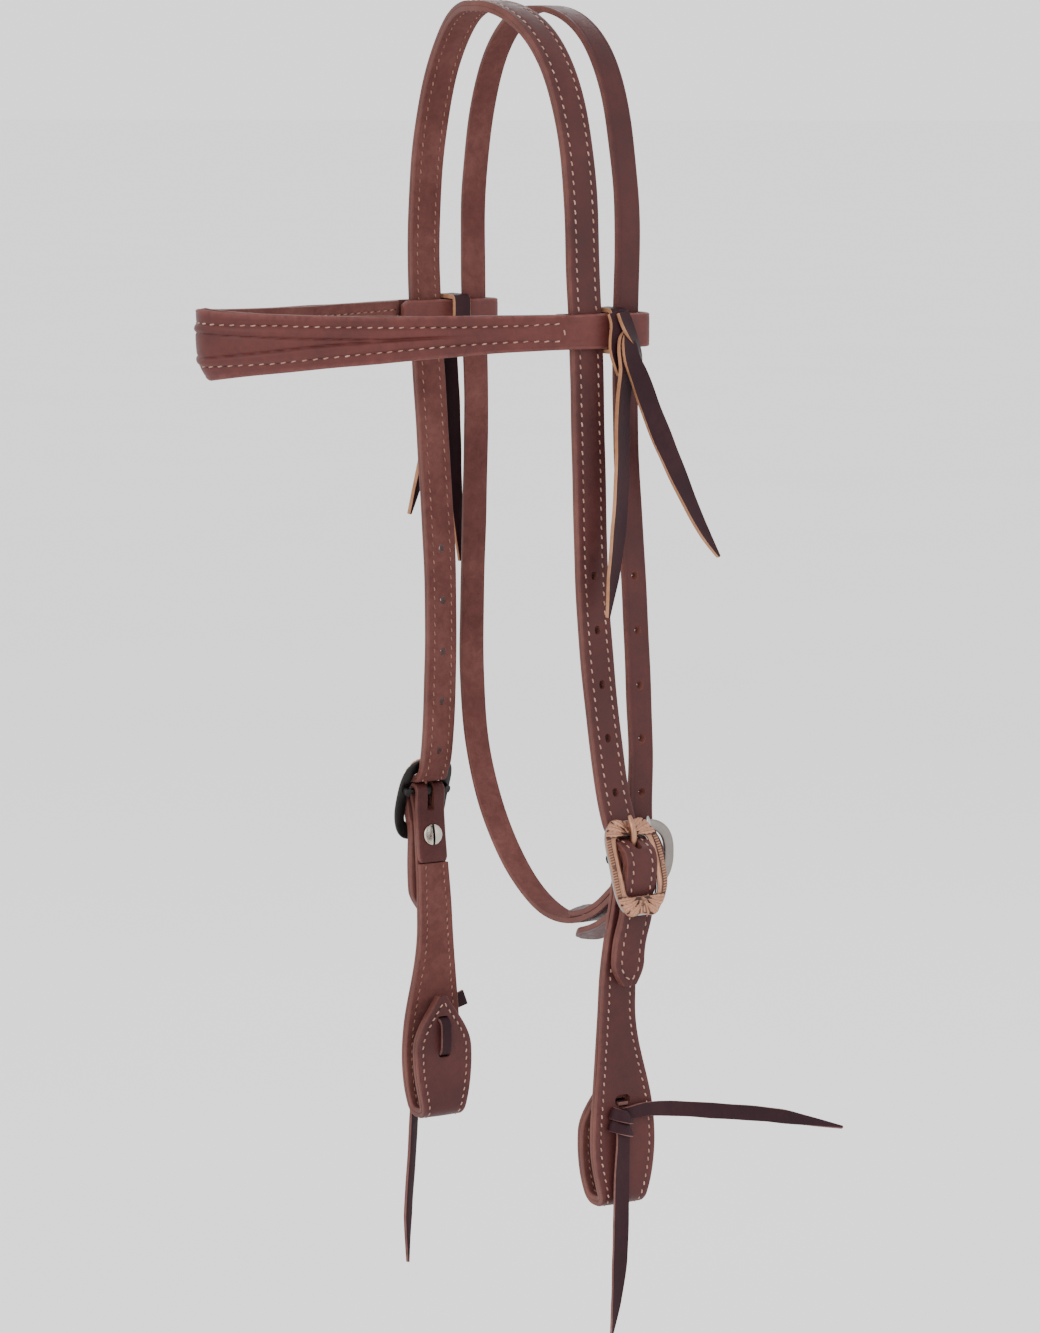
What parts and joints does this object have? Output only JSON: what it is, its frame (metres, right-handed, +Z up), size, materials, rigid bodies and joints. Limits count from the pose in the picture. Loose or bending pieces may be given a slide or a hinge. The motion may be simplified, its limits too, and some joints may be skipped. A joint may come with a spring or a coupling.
{
  "type": "headstall",
  "caption": "Western bridle headstall: buckled crown strap and throatlatch, shaped browband tied on with laces, and two cheek straps ending in laced bit loops.",
  "frame": {"origin": "middle of the underside of the crown strap, where it lies on the poll", "axes": "+Z up; the horse faces -Y; its near (left) side is +X"},
  "size_m": [0.2076, 0.2964, 0.6243],
  "materials": {
    "leather_grain": "oiled harness leather, dark reddish brown, fine grain",
    "leather_lining": "rough flesh side, orange brown",
    "latigo": "dark waxy latigo lace with pale raw edges",
    "steel": "satin steel, slightly worn",
    "copper": "engraved copper-coloured metal"
  },
  "bodies": {
    "headstall": {"crown_strap_face": "leather_grain", "crown_strap_lining": "leather_lining", "throatlatch_strap": "leather_grain", "throat_buckle_frame": "steel", "throat_screw_post": "steel", "throat_screw_head": "steel", "near_cheek_buckle_frame": "steel", "near_cheek_buckle_face": "copper", "far_cheek_buckle_frame": "steel", "far_cheek_buckle_face": "copper"},
    "browband": {"browband_face": "leather_grain", "browband_lining": "leather_lining", "near_brow_tie": "latigo", "far_brow_tie": "latigo"},
    "near_cheek": {"near_cheek_face": "leather_grain", "near_cheek_lining": "leather_lining", "near_cheek_screw_post": "steel", "near_cheek_screw_head": "steel", "near_bit_tie": "latigo"},
    "far_cheek": {"far_cheek_face": "leather_grain", "far_cheek_lining": "leather_lining", "far_cheek_screw_post": "steel", "far_cheek_screw_head": "steel", "far_bit_tie": "latigo"},
    "near_tongue": {"near_cheek_buckle_tongue": "copper"},
    "far_tongue": {"far_cheek_buckle_tongue": "copper"},
    "throat_tongue": {"throat_buckle_tongue": "steel"}
  },
  "joints": [
    {"name": "browband_slide", "type": "slide", "parent": "headstall", "child": "browband", "axis": [0, 0, 1], "range_m": [-0.004, 0.004]},
    {"name": "near_cheek_swing", "type": "hinge", "parent": "headstall", "child": "near_cheek", "pos_m": [0.0917, 0.0222, -0.3869], "axis": [0, 1, 0], "range_deg": [0, 12]},
    {"name": "far_cheek_swing", "type": "hinge", "parent": "headstall", "child": "far_cheek", "pos_m": [-0.0917, 0.0222, -0.3809], "axis": [0, -1, 0], "range_deg": [0, 25]},
    {"name": "near_tongue_turn", "type": "hinge", "parent": "headstall", "child": "near_tongue", "pos_m": [0.0917, 0.0222, -0.3869], "axis": [0, 1, 0], "range_deg": [0, 30]},
    {"name": "far_tongue_turn", "type": "hinge", "parent": "headstall", "child": "far_tongue", "pos_m": [-0.0917, 0.0222, -0.3809], "axis": [0, -1, 0], "range_deg": [0, 30]},
    {"name": "throat_tongue_turn", "type": "hinge", "parent": "headstall", "child": "throat_tongue", "pos_m": [0.0775, 0.039, -0.389], "axis": [0, 1, 0], "range_deg": [0, 30]}
  ]
}
